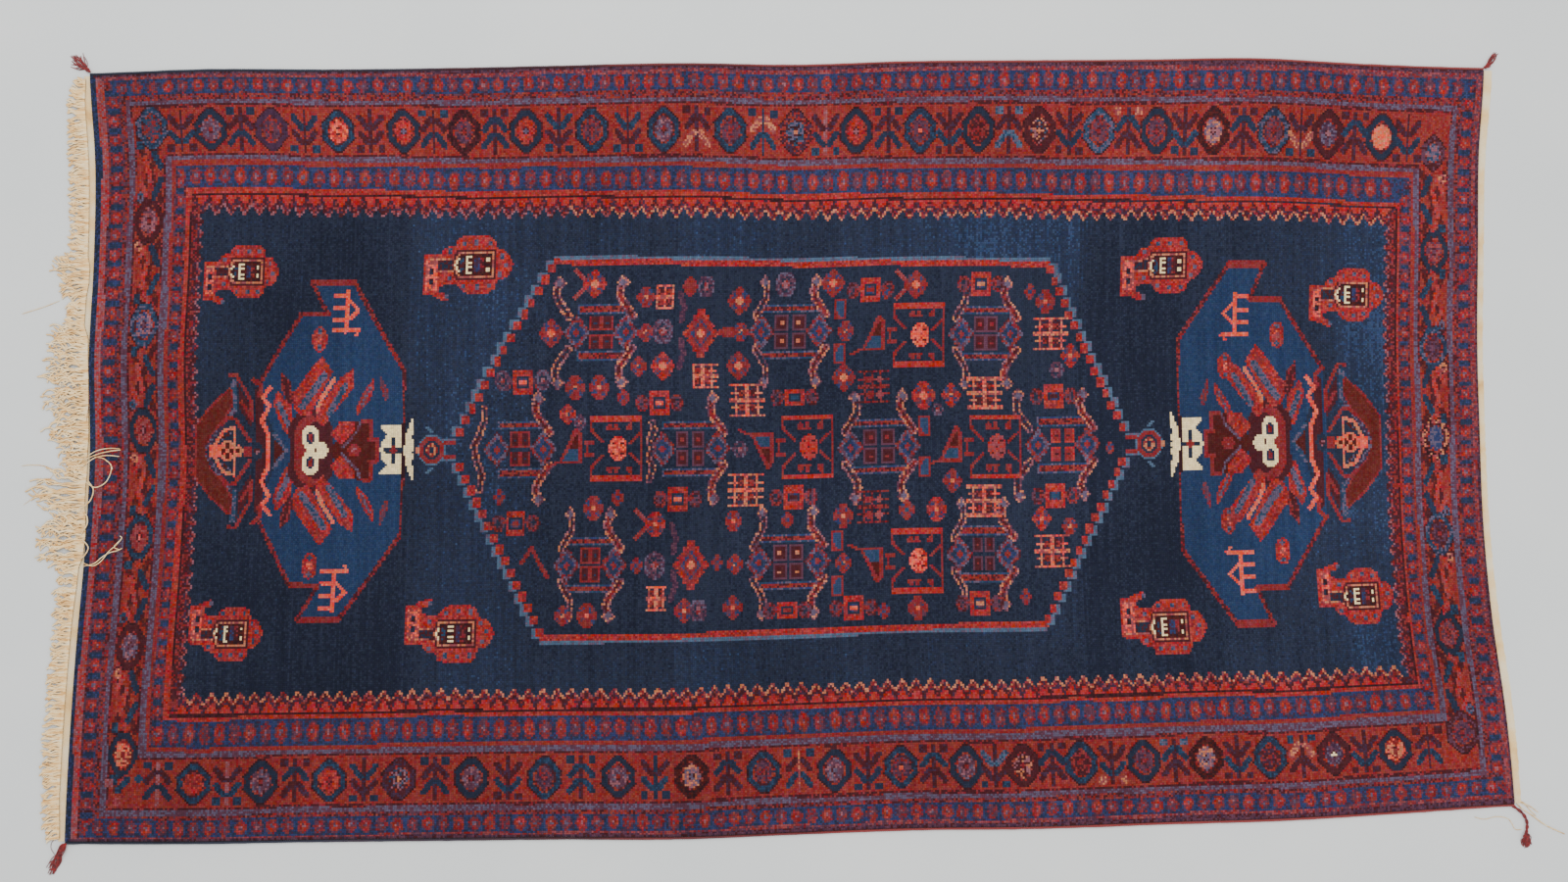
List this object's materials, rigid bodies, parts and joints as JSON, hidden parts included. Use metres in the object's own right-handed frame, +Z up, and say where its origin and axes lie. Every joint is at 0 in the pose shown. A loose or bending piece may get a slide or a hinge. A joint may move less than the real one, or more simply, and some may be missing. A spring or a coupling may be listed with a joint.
{
  "type": "hand-knotted wool rug with fringe",
  "caption": "Long hand-knotted wool rug lying flat, navy field with a stepped medallion, red flower borders, wrapped side cords, woven cotton ends, fringe on the left end and corner tails.",
  "frame": {"origin": "middle of the underside of the pile cloth, on the floor", "axes": "+X along the rug towards its plain end, +Y across it towards the far side cord, +Z up out of the pile"},
  "size_m": [2.6297, 1.3994, 0.0085],
  "materials": {
    "pile_wool": "matte",
    "selvedge_wool": "matte",
    "warp_cotton": "matte",
    "tail_wool": "matte"
  },
  "bodies": {
    "root": {"rug_body": "pile_wool", "selvedge_far": "selvedge_wool", "selvedge_near": "selvedge_wool", "fringe_left": "warp_cotton", "fringe_right": "warp_cotton", "tail_far_left": "tail_wool", "tail_near_left": "tail_wool", "tail_near_right": "tail_wool", "tail_far_right": "tail_wool"}
  },
  "joints": []
}
